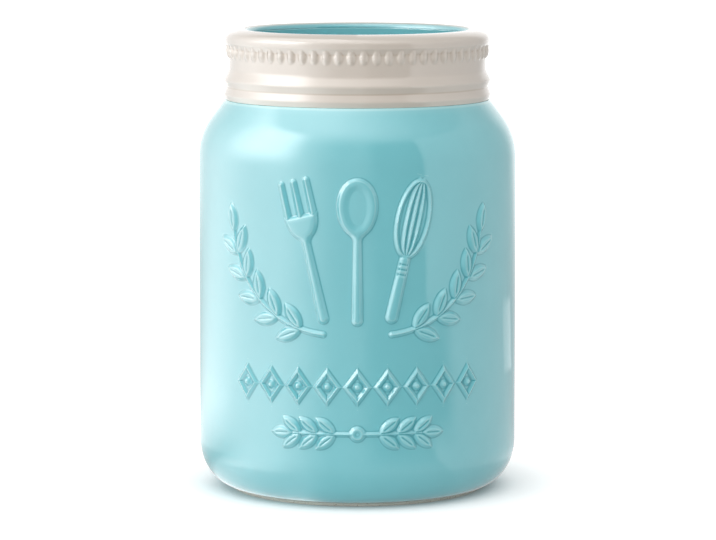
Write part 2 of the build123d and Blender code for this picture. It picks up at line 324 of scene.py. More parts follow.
def oval_arc(centre, width, height, start, end, steps):
    """Points of an oval arc, with its angles in degrees."""
    turns = np.radians(np.linspace(start, end, steps + 1))
    return [Vector((centre[0] + width * cos(turn), centre[1] + height * sin(turn))) for turn in turns]


def divided(points, longest):
    """The same line with no stretch longer than a length."""
    line = [points[0]]
    for before, after in zip(points, points[1:]):
        steps = max(1, ceil((after - before).length / longest))
        line += [before.lerp(after, step / steps) for step in range(1, steps + 1)]
    return line


def turn_on_wheel(points, columns, wedges=12, closed=False):
    """A section turned round the crock's axis: one wedge is spun, and copied all the way round."""
    bm = bmesh.new()
    verts = [bm.verts.new((point.x, 0, point.y)) for point in points]
    pairs = list(zip(verts, verts[1:]))
    if closed:
        pairs.append((verts[-1], verts[0]))
    for pair in pairs:
        bm.edges.new(pair)
    wedge_angle = 2 * pi / wedges
    section = bm.verts[:] + bm.edges[:]
    bmesh.ops.spin(bm, geom=section, cent=(0, 0, 0), axis=(0, 0, 1), angle=wedge_angle, steps=columns)
    wedge = bm.verts[:] + bm.edges[:] + bm.faces[:]
    for place in range(1, wedges):
        copy = bmesh.ops.duplicate(bm, geom=wedge)["geom"]
        copied = [part for part in copy if isinstance(part, bmesh.types.BMVert)]
        turned = Matrix.Rotation(place * wedge_angle, 3, "Z")
        bmesh.ops.rotate(bm, verts=copied, cent=(0, 0, 0), matrix=turned)
    return bm


WELD = 0.001 * MM
SHARP = radians(50)
# The bend of the surface over this distance marks where the glaze thins and a highlight is painted, and where
# it pools and shade is painted, evened out in two rounds
MARK_REACH = 0.55 * MM
MARK_ROUNDS = 2


def mark_surface_bend(mesh):
    """Stores how the surface bends: above zero on raised edges, and below zero in hollows."""
    count = len(mesh.vertices)
    place = np.empty(count * 3, np.float32)
    normal = np.empty(count * 3, np.float32)
    ends = np.empty(len(mesh.edges) * 2, np.int32)
    mesh.vertices.foreach_get("co", place)
    mesh.vertices.foreach_get("normal", normal)
    mesh.edges.foreach_get("vertices", ends)
    place = place.reshape(-1, 3).astype(float)
    normal = normal.reshape(-1, 3)
    first, second = ends.reshape(-1, 2).T
    step = place[second] - place[first]
    square = (step**2).sum(axis=1)
    at_first = (step * normal[first]).sum(axis=1) / square
    at_second = -(step * normal[second]).sum(axis=1) / square
    links = np.bincount(first, minlength=count) + np.bincount(second, minlength=count)
    bend = -2 * (np.bincount(first, at_first, count) + np.bincount(second, at_second, count)) / links
    bend = np.clip(bend * MARK_REACH, -1, 1)
    for _ in range(MARK_ROUNDS):
        around = np.bincount(first, bend[second], count) + np.bincount(second, bend[first], count)
        bend = (bend + around / links) / 2
    marks = mesh.attributes.new("surface_bend", "FLOAT", "POINT")
    marks.data.foreach_set("value", bend.astype(np.float32))


def place_object(bm, name, finish):
    """An object of a bmesh at the origin, smooth and with one finish."""
    mesh = bpy.data.meshes.new(name)
    bm.to_mesh(mesh)
    bm.free()
    mesh.shade_smooth()
    mesh.materials.append(finish)
    thing = bpy.data.objects.new(name, mesh)
    bpy.context.collection.objects.link(thing)
    return thing


def fire_piece(bm, name, node, slot):
    """Makes a finished piece of a bmesh: closed, smooth, glazed, and standing for its CAD node."""
    bmesh.ops.remove_doubles(bm, verts=bm.verts, dist=WELD)
    bmesh.ops.recalc_face_normals(bm, faces=bm.faces)
    piece = place_object(bm, name, FINISHES[slot]())
    piece.data.set_sharp_from_angle(angle=SHARP)
    mark_surface_bend(piece.data)
    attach(piece, "root")
    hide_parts(node)
    return piece


# Finishes


class Nodes:
    """Builds the nodes of a material or of the world."""

    def __init__(self, owner):
        self.owner = owner
        owner.use_nodes = True
        self.tree = owner.node_tree
        self.tree.nodes.clear()

    def add(self, kind, inputs=(), **settings):
        """A node with its settings, and with values or links on its sockets."""
        node = self.tree.nodes.new(kind)
        for key, value in settings.items():
            setattr(node, key, value)
        for key, value in dict(inputs).items():
            if isinstance(value, bpy.types.NodeSocket):
                self.tree.links.new(value, node.inputs[key])
            else:
                node.inputs[key].default_value = value
        return node

    def math(self, operation, first, second):
        """The result of a math operation on two values."""
        return self.add("ShaderNodeMath", {0: first, 1: second}, operation=operation).outputs[0]

    def plain_views(self):
        """One for rays that show the background plainly: from the camera, or by way of gloss or glass."""
        path = self.add("ShaderNodeLightPath").outputs
        seen = path["Is Camera Ray"]
        for name in ("Is Glossy Ray", "Is Transmission Ray"):
            seen = self.math("MAXIMUM", seen, path[name])
        return seen


class Finish(Nodes):
    """Builds the nodes of one material."""

    def __init__(self, name):
        super().__init__(bpy.data.materials.new(name))
        self.place = self.add("ShaderNodeTexCoord").outputs["Object"]

    def noise(self, size, detail=2.0, roughness=0.5):
        """Noise with spots of about a size."""
        inputs = {"Vector": self.place, "Scale": 1 / size, "Detail": detail, "Roughness": roughness}
        return self.add("ShaderNodeTexNoise", inputs).outputs["Fac"]

    def spread(self, value, low, high, to_low, to_high):
        """A value's range mapped smoothly to another."""
        inputs = {"Value": value, "From Min": low, "From Max": high, "To Min": to_low, "To Max": to_high}
        return self.add("ShaderNodeMapRange", inputs, interpolation_type="SMOOTHSTEP").outputs["Result"]

    def radius(self):
        """The distance from the crock's axis."""
        flat = self.add("ShaderNodeVectorMath", {0: self.place, 1: (1, 1, 0)}, operation="MULTIPLY")
        return self.add("ShaderNodeVectorMath", {0: flat.outputs[0]}, operation="LENGTH").outputs["Value"]

    def blend(self, amount, first, second):
        """A colour between two others. The Mix node's sockets share their names, so they go by number."""
        return self.add("ShaderNodeMix", {0: amount, 6: first, 7: second}, data_type="RGBA").outputs[2]

    def bump(self, height, distance, normal=None):
        """A bump of a depth, on top of another one."""
        inputs = {"Height": height, "Distance": distance, "Strength": 1.0}
        if normal:
            inputs["Normal"] = normal
        return self.add("ShaderNodeBump", inputs).outputs["Normal"]

    def finish(self, **inputs):
        """Ends in a Principled shader with these inputs."""
        named = {key.replace("_", " "): value for key, value in inputs.items()}
        shader = self.add("ShaderNodeBsdfPrincipled", named)
        self.add("ShaderNodeOutputMaterial", {"Surface": shader.outputs["BSDF"]})
        return self.owner


# Sizes of the glazes' marks, and depths of their waves
CLOUD_SIZE = 22 * MM
SPOT_SIZE = 1.1 * MM
WAVE_SIZE = 16 * MM
WAVE_DEPTH = 0.10 * MM
SKIN_SIZE = 2.6 * MM
SKIN_DEPTH = 0.004 * MM
GLAZE_IOR = 1.52

# Each of these is a value's range and the amounts at its two ends
POOLED_CLOUDS = (0.3, 0.7, 0.0, 0.10)
THIN_SPOTS = (0.62, 0.8, 0.0, 0.08)
# Raised edges take the thin colour, thinning glaze with a painted highlight; hollows take the pooled colour,
# pooling glaze with painted shade
THIN_AND_HIGHLIT_EDGES = (0.05, 0.6, 0.0, 0.6)
POOLED_AND_SHADED_HOLLOWS = (-0.03, -0.4, 0.0, 0.95)
GLAZE_ROUGHNESS = (0.2, 0.8, 0.025, 0.06)

# A line of thin glaze runs along the seam between the glazes and along the edge of the bare foot
SEAM_LINE_FOOT = SEAT_HEIGHT - 1.3 * MM
SEAM_LINE_FULL = SEAT_HEIGHT - 0.4 * MM
SEAM_LINE_TOP = SEAT_HEIGHT + 0.3 * MM
FOOT_LINE_FULL = FOOT_HEIGHT + 0.4 * MM
FOOT_LINE_TOP = FOOT_HEIGHT + 1.1 * MM
LINE_AMOUNT = 0.8


def glaze(name, usual, thin, pooled_and_shade, lining=None):
    """A glossy glaze that is paler where it thins over edges and deeper where it pools, with a painted
    highlight on raised edges and painted shade in hollows.

    A lining is another glaze's colour, which runs up over the lip's inner side.
    """
    if name in bpy.data.materials:
        return bpy.data.materials[name]
    finish = Finish(name)
    marks = finish.add("ShaderNodeAttribute", attribute_name="surface_bend").outputs["Fac"]
    cloud = finish.noise(CLOUD_SIZE, detail=3.0)
    tint = finish.blend(finish.spread(cloud, *POOLED_CLOUDS), usual, pooled_and_shade)
    tint = finish.blend(finish.spread(finish.noise(SPOT_SIZE), *THIN_SPOTS), tint, thin)
    # Paler on raised edges: thinning glaze and a painted highlight
    tint = finish.blend(finish.spread(marks, *THIN_AND_HIGHLIT_EDGES), tint, thin)
    # Deeper in hollows: pooling glaze and painted shade
    tint = finish.blend(finish.spread(marks, *POOLED_AND_SHADED_HOLLOWS), tint, pooled_and_shade)
    height = finish.add("ShaderNodeSeparateXYZ", {"Vector": finish.place}).outputs["Z"]
    below = finish.spread(height, SEAM_LINE_FOOT, SEAM_LINE_FULL, 0.0, LINE_AMOUNT)
    above = finish.spread(height, SEAT_HEIGHT, SEAM_LINE_TOP, 1.0, 0.0)
    foot_line = finish.spread(height, FOOT_LINE_FULL, FOOT_LINE_TOP, LINE_AMOUNT, 0.0)
    for line in (finish.math("MULTIPLY", below, above), foot_line):
        tint = finish.blend(line, tint, thin)
    if lining:
        inner, outer = lining_radii()
        tint = finish.blend(finish.spread(finish.radius(), inner, outer, 1.0, 0.0), tint, lining)
    waves = finish.bump(finish.noise(WAVE_SIZE, detail=1.0), WAVE_DEPTH)
    skin = finish.bump(finish.noise(SKIN_SIZE, detail=1.0), SKIN_DEPTH, waves)
    roughness = finish.spread(cloud, *GLAZE_ROUGHNESS)
    return finish.finish(Base_Color=tint, Roughness=roughness, IOR=GLAZE_IOR, Normal=skin)


def aqua_glaze():
    """The glaze of the jar and its ornament."""
    glazes = bpy.context.scene.crock_glazes
    return glaze("fired_aqua", glazes.aqua, glazes.aqua_thin_and_highlight, glazes.aqua_pooled_and_shade)


def cream_glaze():
    """The glaze of the band."""
    glazes = bpy.context.scene.crock_glazes
    return glaze("fired_cream", glazes.cream, glazes.cream_thin_and_highlight, glazes.cream_pooled_and_shade, glazes.aqua)


# Sizes and depth of the bare clay's marks, and its spreads as above
SPECK_SIZE = 0.7 * MM
GRIT_SIZE = 0.35 * MM
GRIT_DEPTH = 0.05 * MM
BLOTCH_SIZE = 6 * MM
CLAY_SPECKS = (0.62, 0.70, 0.0, 0.8)
CLAY_ROUGHNESS = (0.2, 0.8, 0.72, 0.9)


def bare_clay():
    """The unglazed clay of the foot: dry, a little gritty, with brown specks."""
    glazes = bpy.context.scene.crock_glazes
    finish = Finish("fired_clay")
    specks = finish.spread(finish.noise(SPECK_SIZE, detail=3.0), *CLAY_SPECKS)
    tint = finish.blend(specks, glazes.clay, glazes.clay_speck)
    grit = finish.bump(finish.noise(GRIT_SIZE, detail=4.0, roughness=0.7), GRIT_DEPTH)
    roughness = finish.spread(finish.noise(BLOTCH_SIZE), *CLAY_ROUGHNESS)
    return finish.finish(Base_Color=tint, Roughness=roughness, Normal=grit)


FINISHES = {"aqua_glaze": aqua_glaze, "cream_glaze": cream_glaze, "bare_clay": bare_clay}


# Jar, band and foot


def seat_radius(jar):
    """Radius of the seat that carries the band."""
    return jar.body_radius - jar.shoulder_inset


def waist_radius(jar, band):
    """Radius of the band's waist."""
    return seat_radius(jar) - band.seat_margin - band.edge_proud


def bore_radius(jar, band):
    """Radius of the mouth."""
    return waist_radius(jar, band) - band.thickness - band.clearance - jar.neck_wall


# How much of the way from the mouth to the lip's highest line the lining fades over
LINING_SHARE = 0.7


def lining_radii():
    """Radii between which the lining fades out over the lip."""
    jar, band = bpy.context.scene.crock_jar, bpy.context.scene.crock_band
    mouth = bore_radius(jar, band)
    crown = waist_radius(jar, band) + band.lip_proud - band.crown_width
    return mouth, mouth + LINING_SHARE * (crown - mouth)


# The longest straight stretch of each section
JAR_STEP = 6 * MM
BAND_STEP = 0.5 * MM
FOOT_STEP = 0.9 * MM


def jar_section(jar, band):
    """The jar's section, from the middle of its underside round to the middle of its floor."""
    flat = jar.body_radius - jar.base_width
    recess = flat + jar.foot_reach - jar.foot_width - jar.recess_clearance
    recess_top = FOOT_HEIGHT + jar.recess_depth
    wall_foot = FOOT_HEIGHT + jar.base_height
    seat = seat_radius(jar)
    bore = bore_radius(jar, band)
    neck = bore + jar.neck_wall
    corner = SEAT_HEIGHT - jar.shoulder_rise
    slope = atan2(jar.shoulder_inset, jar.shoulder_rise)
    cavity = jar.body_radius - jar.wall
    floor = FOOT_HEIGHT + jar.floor
    edge = 0.6 * MM
    rim = 0.4 * MM

    def inner_height(radius):
        along = (jar.body_radius - radius - jar.shoulder_wall * cos(slope)) / sin(slope)
        return corner - jar.shoulder_wall * sin(slope) + along * cos(slope)

    underside = rounded_line(
        [(0, recess_top, 0), (recess, recess_top, edge), (recess, FOOT_HEIGHT, edge), (flat, FOOT_HEIGHT, 0)]
    )
    base = oval_arc((flat, wall_foot), jar.base_width, jar.base_height, -90, 0, steps=24)
    outside = rounded_line(
        [
            (jar.body_radius, wall_foot, 0),
            (jar.body_radius, corner, jar.shoulder_rounding),
            (seat, SEAT_HEIGHT, edge / 2),
            (neck, SEAT_HEIGHT, 0),
            (neck, NECK_TOP, rim),
            (bore, NECK_TOP, rim),
            (bore, inner_height(bore), jar.neck_blend),
            (cavity, inner_height(cavity), jar.shoulder_rounding - jar.shoulder_wall),
            (cavity, floor, jar.floor_rounding),
            (0, floor, 0),
        ]
    )
    return underside + base[1:] + divided(outside, JAR_STEP)[1:]


def band_section(jar, band):
    """The band's section, from the mouth over the crown, down the ridged outside and up along the neck."""
    waist = waist_radius(jar, band)
    bore = bore_radius(jar, band)
    inner = waist - band.thickness
    lip = waist + band.lip_proud
    crown = lip - band.crown_width
    crown_height = CROCK_HEIGHT - band.crown_depth
    ridge = 1.3 * MM
    groove = 0.9 * MM
    root = 1.8 * MM
    waist_bend = 3.0 * MM
    lip_bend = 1.0 * MM
    edge = 0.4 * MM
    over = oval_arc((crown, NECK_TOP), crown - bore, CROCK_HEIGHT - NECK_TOP, 180, 90, steps=12)
    over += oval_arc((crown, crown_height), band.crown_width, band.crown_depth, 90, 0, steps=16)[1:]
    down = rounded_line(
        [
            (lip, crown_height, 0),
            (lip, CROCK_HEIGHT - band.lip_face, lip_bend),
            (waist, CROCK_HEIGHT - band.lip_root, root),
            (waist, SEAT_HEIGHT + band.waist_foot, waist_bend),
            (waist + band.upper_ridge_proud, SEAT_HEIGHT + band.upper_ridge_height, ridge),
            (waist + band.groove_proud, SEAT_HEIGHT + band.groove_height, groove),
            (waist + band.lower_ridge_proud, SEAT_HEIGHT + band.lower_ridge_height, ridge),
            (waist + band.edge_proud, SEAT_HEIGHT, edge),
            (inner, SEAT_HEIGHT, 0),
            (inner, NECK_TOP, 0),
        ],
        rounding=radians(9),
    )
    outside = [point for point in down if point.x > waist - band.thickness / 2]
    inside = down[len(outside) :]
    return divided(over + outside[1:], BAND_STEP) + inside


# The power in a bead's section, where 0.5 is a half oval and a larger one is more pointed
BEAD_POINT = 0.9


def raise_beads(bm, jar, band):
    """Pushes a row of upright beads out of the waist under the lip."""
    waist = waist_radius(jar, band)
    count = bead_count(jar, band)
    step = 2 * pi / count
    middle = CROCK_HEIGHT - band.bead_depth
    for vert in bm.verts:
        radius = hypot(vert.co.x, vert.co.y)
        if radius < waist - band.thickness / 2:
            continue
        turn = atan2(vert.co.y, vert.co.x) / step
        sideways = (turn - round(turn)) * step * waist / (band.bead_width / 2)
        upwards = (vert.co.z - middle) / (band.bead_length / 2)
        away = hypot(sideways, upwards)
        if away < 1:
            push = band.bead_rise * (1 - away**2) ** BEAD_POINT
            vert.co.x *= 1 + push / radius
            vert.co.y *= 1 + push / radius


def bead_count(jar, band):
    """How many beads go round on the line of their middles, which lies a little inside the waist."""
    inset = 0.8 * MM
    return int(2 * pi * (waist_radius(jar, band) - inset) / band.bead_pitch)


def foot_section(jar):
    """The bare foot's section: a flat ring with rounded edges."""
    outer = jar.body_radius - jar.base_width + jar.foot_reach
    inner = outer - jar.foot_width
    edge = jar.foot_rounding
    return rounded_line(
        [
            (inner, FOOT_HEIGHT / 2, 0),
            (inner, 0, edge),
            (outer, 0, edge),
            (outer, FOOT_HEIGHT, edge / 2),
            (inner, FOOT_HEIGHT, edge / 2),
            (inner, FOOT_HEIGHT / 2, 0),
        ],
        rounding=radians(15),
    )[:-1]


# Ornament


def smooth(amount):
    """A smooth step from none to all."""
    amount = np.clip(amount, 0, 1)
    return amount * amount * (3 - 2 * amount)


def join(first, second, softness):
    """The distance to either of two shapes, run softly together."""
    amount = np.clip(0.5 + 0.5 * (second - first) / softness, 0, 1)
    return second + (first - second) * amount - softness * amount * (1 - amount)


def stroke(u, v, start, end, start_width, end_width):
    """Distance outside a straight stroke with round ends, which may taper."""
    du, dv = end[0] - start[0], end[1] - start[1]
    along = np.clip(((u - start[0]) * du + (v - start[1]) * dv) / (du * du + dv * dv), 0, 1)
    width = start_width + along * (end_width - start_width)
    return np.hypot(u - start[0] - along * du, v - start[1] - along * dv) - width / 2


# How wide a handle is at its foot and at its neck, as shares of its width
HANDLE_FOOT_SHARE = 1.1
HANDLE_NECK_SHARE = 0.82


def handle(u, v, foot, neck, width):
    """Distance outside a handle that narrows from its foot to its neck."""
    end = (0, foot + width / 2)
    return stroke(u, v, end, (0, neck), width * HANDLE_FOOT_SHARE, width * HANDLE_NECK_SHARE)


# Keeps an oval's middle, where its slope is none, from a division by zero
LEAST_SLOPE = 1e-6


def oval(u, v, middle, width, height):
    """Distance outside an oval, near its outline."""
    x, y = u, v - middle
    near = np.hypot(x * 2 / width, y * 2 / height)
    slope = np.hypot(x * 4 / width**2, y * 4 / height**2)
    return near * (near - 1) / np.maximum(slope, LEAST_SLOPE)


def leaf(u, v, root, heading, size, width):
    """Distance outside a pointed leaf, the share of its length where a point is, and how far off the vein."""
    x, y = u - root[0], v - root[1]
    along = x * cos(heading) + y * sin(heading) - size / 2
    across = np.abs(y * cos(heading) - x * sin(heading))
    radius = (size**2 + width**2) / (4 * width)
    centre = radius - width / 2
    beyond = (np.abs(along) - size / 2) * centre > across * size / 2
    from_tip = np.hypot(np.abs(along) - size / 2, across)
    from_side = np.hypot(along, across + centre) - radius
    return np.where(beyond, from_tip, from_side), along / size + 0.5, across


# Where a leaf's vein runs, as shares of its length
VEIN_START = 0.12
VEIN_RISE = 0.2
VEIN_END = 0.9
VEIN_FALL = 0.25


def leafy(u, v, stem, leaves, size, width):
    """Distance outside a stem with leaves, and the sunk veins of the leaves."""
    branches = bpy.context.scene.crock_branches
    softness = bpy.context.scene.crock_relief.softness
    distance = stem
    veins = np.zeros_like(u)
    for root, heading in leaves:
        outside, along, across = leaf(u, v, root, heading, size, width)
        distance = join(distance, outside, softness / 2)
        run = smooth((along - VEIN_START) / VEIN_RISE) * smooth((VEIN_END - along) / VEIN_FALL)
        veins = np.maximum(veins, run * np.exp(-((across / branches.vein_width) ** 2)))
    return distance, -branches.vein * veins


# How much more softly than other strokes a bowl or a palm runs into its handle
NECK_SOFTENING = 3
# How much a bowl narrows to its end, how far its hollow bends down as a share of its rim, and the room that
# its widest part takes up as a share of its width
EGG_SHARE = 0.10
HOLLOW_SHARE = 2.2
BOWL_ROOM = 1.1


def spoon_motif(u, v, sizes, relief):
    """A spoon: a tapered handle and a bowl with a rim and a hollow."""
    top = sizes.size * relief.wall_height / 2
    bowl_length = sizes.spoon_length * relief.wall_height
    neck = top - bowl_length
    middle = top - bowl_length / 2
    narrowed = u * (1 - EGG_SHARE * (v - middle) / bowl_length)
    bowl = oval(narrowed, v, middle, sizes.spoon_width, bowl_length)
    hollow = -sizes.spoon_hollow * smooth(-(bowl + sizes.spoon_rim) / (HOLLOW_SHARE * sizes.spoon_rim))
    grip = handle(u, v, -top, neck + relief.rise, sizes.handle)
    return join(grip, bowl, NECK_SOFTENING * relief.softness), hollow


# How wide a tine is at its tip, and the whisk's grip at its top, as a share of its width
TIP_SHARE = 0.85


def fork_motif(u, v, sizes, relief):
    """A fork: a tapered handle, a rounded palm and straight tines."""
    top = sizes.size * relief.wall_height / 2
    tine_length = sizes.tine_length * relief.wall_height
    palm_length = sizes.palm * relief.wall_height
    root = top - tine_length
    pitch = sizes.tine_width + sizes.tine_gap
    width = sizes.tine_width + (sizes.tines - 1) * pitch
    palm = np.maximum(oval(u, v, root, width, 2 * palm_length), v - root)
    grip = handle(u, v, -top, root - palm_length, sizes.handle)
    distance = join(grip, palm, NECK_SOFTENING * relief.softness)
    tip = top - sizes.tine_width / 2
    for place in range(sizes.tines):
        across = (place - (sizes.tines - 1) / 2) * pitch
        tine = stroke(u, v, (across, root), (across, tip), sizes.tine_width, sizes.tine_width * TIP_SHARE)
        distance = join(distance, tine, relief.softness)
    return distance, np.zeros_like(u)


# Grooves round the grip: their pitch, width and depth as shares of the grip, the wire and the strokes' rise
RING_PITCH_SHARE = 0.42
RING_WIDTH_SHARE = 0.35
RING_DEPTH_SHARE = 0.4


def whisk_motif(u, v, sizes, relief):
    """A balloon whisk: two wire loops, a straight wire, and a grip with grooves round its upper end."""
    top = sizes.size * relief.wall_height / 2
    loops = sizes.whisk_length * relief.wall_height
    foot = top - loops
    wire = sizes.wire
    distance = stroke(u, v, (0, foot), (0, top - wire / 2), wire, wire)
    for width in (sizes.whisk_width, sizes.whisk_inner):
        outline = np.abs(oval(u, v, top - loops / 2, width - wire, loops - wire)) - wire / 2
        distance = join(distance, outline, relief.softness / 2)
    round_end = sizes.grip / 2
    lower, upper = (0, round_end - top), (0, foot - round_end + wire)
    grip = stroke(u, v, lower, upper, sizes.grip, sizes.grip * TIP_SHARE)
    pitch = RING_PITCH_SHARE * sizes.grip
    grooves = np.zeros_like(u)
    for place in range(sizes.grip_rings):
        grooves += np.exp(-(((v - foot + round_end + place * pitch) / (RING_WIDTH_SHARE * wire)) ** 2))
    rings = -RING_DEPTH_SHARE * relief.rise * grooves * smooth(0.5 - grip / wire)
    return join(distance, grip, relief.softness), rings


def branch_motif(u, v, sizes, relief):
    """The right branch: an arched stem that tapers, with paired leaves and one at its end."""
    fall = sizes.fall * relief.wall_height
    middle = Vector((sizes.centre_across - sizes.across, (sizes.centre - sizes.middle) * relief.wall_height))

    def stem_point(turn):
        return middle + Vector((sizes.reach * cos(turn), fall * sin(turn)))

    def stem_heading(turn):
        return atan2(fall * cos(turn), -sizes.reach * sin(turn))

    steps = 32
    turns = np.linspace(sizes.start, sizes.end, steps + 1)
    widths = np.linspace(sizes.stem, sizes.stem_tip, steps + 1)
    points = [stem_point(turn) for turn in turns]
    strokes = zip(points, points[1:], widths, widths[1:])
    stem = np.minimum.reduce([stroke(u, v, *each) for each in strokes])
    leaves = []
    for pair in range(sizes.pairs):
        turn = sizes.first_leaves + pair * sizes.leaf_step
        for spread in (-sizes.spread, sizes.spread):
            leaves.append((stem_point(turn), stem_heading(turn) + spread))
    tip = sizes.end - sizes.stem / sizes.reach
    leaves.append((stem_point(tip), stem_heading(tip)))
    return leafy(u, v, stem, leaves, sizes.leaf_length, sizes.leaf_width)


def lozenge_motif(u, v, sizes, relief):
    """A row of outlined lozenges with a dot in each."""
    height = sizes.height * relief.wall_height
    last = (sizes.lozenges - 1) / 2
    x = np.abs(u - np.clip(np.round(u / sizes.pitch + last) - last, -last, last) * sizes.pitch)
    y = np.abs(v)
    slant = hypot(sizes.width, height)
    outline = (height * x + sizes.width * y - sizes.width * height / 2) / slant
    line = np.abs(outline + sizes.line / 2) - sizes.line / 2
    return np.minimum(line, np.hypot(x, y) - sizes.dot / 2), np.zeros_like(u)


def garland_motif(u, v, sizes, relief):
    """A boss with a straight leafy stem to each side."""
    x = np.abs(u)
    tip = sizes.start + sizes.reach - sizes.stem
    stem = stroke(x, v, (sizes.start, 0), (tip, 0), sizes.stem, sizes.stem)
    spread = bpy.context.scene.crock_branches.spread
    leaves = []
    for pair in range(sizes.pairs):
        root = (sizes.first_pair + pair * sizes.pair_pitch, 0)
        leaves += [(root, -spread), (root, spread)]
    leaves.append(((tip, 0), 0.0))
    distance, veins = leafy(x, v, stem, leaves, sizes.leaf_length, sizes.leaf_width)
    boss = np.hypot(u, v) - sizes.boss / 2
    rim = sizes.boss / 6
    slope = sizes.boss / 4
    dimple = -sizes.dimple * smooth(-(boss + rim) / slope)
    return join(distance, boss, relief.softness), np.where(boss < 0, dimple, veins)


# How far inside a stroke its veins and hollows get their depth, as a share of its shoulder
DETAIL_SHARE = 0.6


def press_on_wall(name, node, motif, sizes, across, height, width, tall, lean=0.0, mirrored=False):
    """Presses a motif on the wall: a fine grid is lifted, wrapped round the jar and bedded in it."""
    jar = bpy.context.scene.crock_jar
    relief = bpy.context.scene.crock_relief
    margin = 2 * (relief.foot + relief.skirt)
    width, tall = width + margin, tall + margin
    bm = bmesh.new()
    bmesh.ops.create_grid(
        bm,
        x_segments=ceil(width / relief.grid),
        y_segments=ceil(tall / relief.grid),
        size=0.5,
        matrix=Matrix.Diagonal((width, tall, 1, 1)),
    )
    flat = np.array([vert.co for vert in bm.verts])
    u, v = flat[:, 0], flat[:, 1]
    distance, detail = motif(-u if mirrored else u, v, sizes, relief)
    lift = relief.rise * smooth((relief.foot - distance) / (relief.foot + relief.shoulder))
    lift += relief.crown * smooth(-distance / relief.crown_reach)
    lift += relief.film * (1 - 2 * np.maximum(distance - relief.foot, 0) / relief.skirt)
    lift += detail * smooth(-distance / (DETAIL_SHARE * relief.shoulder))
    outside = distance > relief.foot + relief.skirt
    spare = [face for face in bm.faces if all(outside[vert.index] for vert in face.verts)]
    turn = across / jar.body_radius + (u * cos(lean) - v * sin(lean)) / jar.body_radius
    place = relief.wall_foot + height * relief.wall_height + u * sin(lean) + v * cos(lean)
    radius = jar.body_radius + lift
    for vert, x, y, z in zip(bm.verts, radius * np.sin(turn), -radius * np.cos(turn), place):
        vert.co = (x, y, z)
    bmesh.ops.delete(bm, geom=spare, context="FACES")
    back = bmesh.ops.extrude_face_region(bm, geom=bm.faces[:], use_keep_orig=True)
    depth = jar.body_radius - relief.bedding
    for vert in back["geom"]:
        if isinstance(vert, bmesh.types.BMVert):
            vert.co.xy = vert.co.xy.normalized() * depth
    return fire_piece(bm, name, node, "aqua_glaze")


# Stage

# The camera's sensor in millimetres, and how far it sees in metres
SENSOR_WIDTH = 36.0
VIEW_REACH = 100.0


def aim_camera(stage):
    """The camera, at the angle of the photograph."""
    camera = bpy.data.cameras.new("camera")
    camera.lens = stage.focal_length
    camera.sensor_width = SENSOR_WIDTH
    camera.shift_x = stage.shift
    camera.clip_end = VIEW_REACH
    holder = bpy.data.objects.new("camera", camera)
    holder.location = (0, -stage.camera_distance, stage.camera_height)
    holder.rotation_euler = (pi / 2 - stage.camera_tilt, 0, 0)
    bpy.context.collection.objects.link(holder)
    bpy.context.scene.camera = holder


def hang_key(stage):
    """A distant soft lamp that gloss leaves out. A sun of strength pi shows white paper white."""
    lamp = bpy.data.lights.new("key", "SUN")
    lamp.angle = stage.key_breadth
    lamp.energy = stage.key * pi
    holder = bpy.data.objects.new("key", lamp)
    holder.rotation_euler = (pi / 2 - stage.key_elevation, 0, stage.key_azimuth)
    holder.visible_camera = False
    holder.visible_glossy = False
    bpy.context.collection.objects.link(holder)


# Patches of the light tent, painted over each other in this order. Each has the name of its brightness and,
# in degrees, its azimuths from the front to the right, its soft sides, its elevations, its soft foot and top.
TENT_PATCHES = (
    ("rear_glow", (140, 181), (25, 0.5), (3, 40), (4, 20)),
    ("rear_glow", (-181, -155), (0.5, 15), (3, 40), (4, 20)),
    ("right_glow", (45, 135), (3, 50), (-1, 50), (0.5, 5)),
    ("edge_glow", (120, 176), (20, 8), (-1, 15), (0.5, 7)),
    ("right_glow", (130, 181), (20, 0.5), (11, 75), (7, 30)),
    ("strip_glow", (118, 137), (2.5, 4), (5.9, 9.7), (0.4, 0.5)),
    ("card_glow", (0, 46), (16, 2.5), (0.5, 52), (4, 10)),
    ("card_glow", (0, 68), (16, 14), (2.5, 11), (3, 3)),
    ("right_glow", (-178, -125), (15, 20), (10, 60), (6, 20)),
    ("left_glow", (-151, -9), (60, 48), (-1, 80), (0.5, 30)),
    ("left_glow", (-148, 95), (60, 160), (38, 91), (26, 0.5)),
    ("hot_glow", (-114, -36), (40, 24), (14, 58), (18, 9)),
    ("low_glow", (-181, -60), (0.5, 32), (-1, 5.4), (0.5, 4.4)),
    ("low_glow", (-181, -15), (0.5, 20), (-1, 1.1), (0.5, 1.0)),
    ("under_glow", (-25, 181), (20, 0.5), (-1, 1.1), (0.5, 1.0)),
    ("edge_glow", (-181, -84), (0.5, 14), (-1, 2.5), (0.5, 2.2)),
)


class TentLight(Finish):
    """The glow of a light tent: white all round, with soft patches painted over each other."""

    def __init__(self):
        super().__init__("light_tent")
        axes = self.add("ShaderNodeSeparateXYZ", {"Vector": self.place}).outputs
        front = self.math("MULTIPLY", axes["Y"], -1.0)
        self.turn = self.math("ARCTAN2", axes["X"], front)
        self.height = self.math("ARCTAN2", axes["Z"], self.radius())
        self.strength = 1.0

    def paint(self, strength, azimuths, sides, heights, ends):
        """Paints one patch."""
        (start, end), (low, high) = np.radians(azimuths), np.radians(heights)
        first, last, foot, top = np.radians((*sides, *ends))
        amount = self.spread(self.turn, start, start + first, 0.0, 1.0)
        for span in (
            self.spread(self.turn, end - last, end, 1.0, 0.0),
            self.spread(self.height, low, low + foot, 0.0, 1.0),
            self.spread(self.height, high - top, high, 1.0, 0.0),
        ):
            amount = self.math("MULTIPLY", amount, span)
        change = self.math("MULTIPLY", amount, self.math("SUBTRACT", strength, self.strength))
        self.strength = self.math("ADD", self.strength, change)

    def close(self):
        """Ends the material in the painted light."""
        light = self.add("ShaderNodeEmission", {"Strength": self.strength})
        self.add("ShaderNodeOutputMaterial", {"Surface": light.outputs[0]})
        return self.owner


